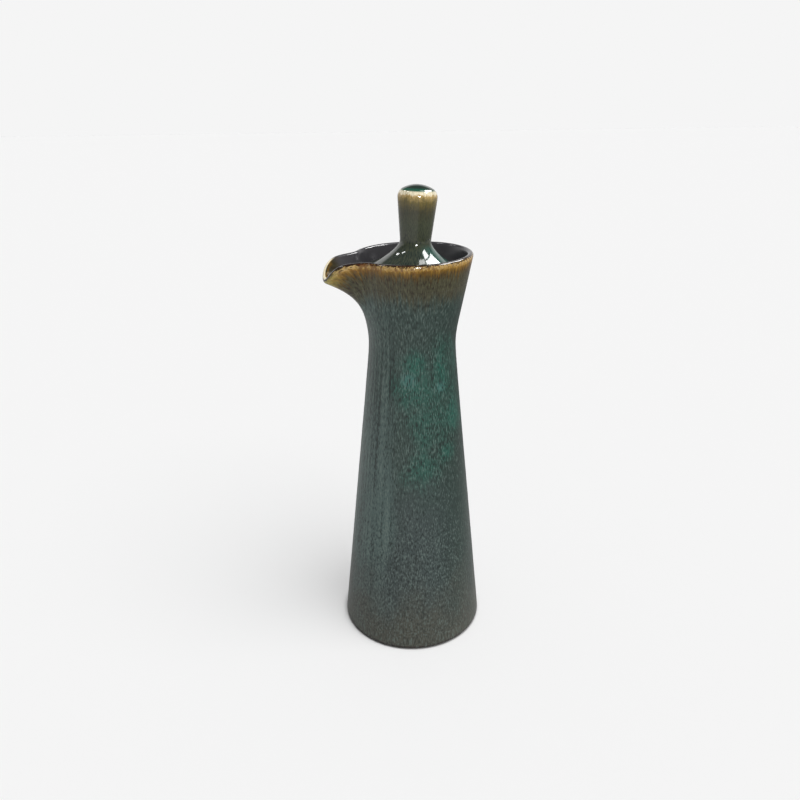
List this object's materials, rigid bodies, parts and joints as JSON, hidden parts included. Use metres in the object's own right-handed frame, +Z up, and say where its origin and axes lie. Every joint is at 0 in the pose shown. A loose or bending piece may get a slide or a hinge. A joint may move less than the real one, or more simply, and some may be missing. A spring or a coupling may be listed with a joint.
{
  "type": "ceramic oil dispenser",
  "caption": "Tall tapered stoneware oil bottle with a waisted neck, flared mouth pulled into a pouring spout, and a loose knobbed stopper.",
  "frame": {"origin": "centre of the foot, on the surface that the bottle stands on", "axes": "+Z up along the bottle's axis, -X towards the spout, Y = 0 is the plane of symmetry"},
  "size_m": [0.0744, 0.0696, 0.2176],
  "materials": {
    "bottle_glaze": "satin to glossy reactive glaze, grey-green with fine vertical streaks and a brown and amber lip",
    "stopper_glaze": "glossy dark olive green glaze, cream and amber round the knob's shoulder, emerald on its dome"
  },
  "bodies": {
    "root": {"bottle_body": "bottle_glaze", "stopper": "stopper_glaze"}
  },
  "joints": []
}
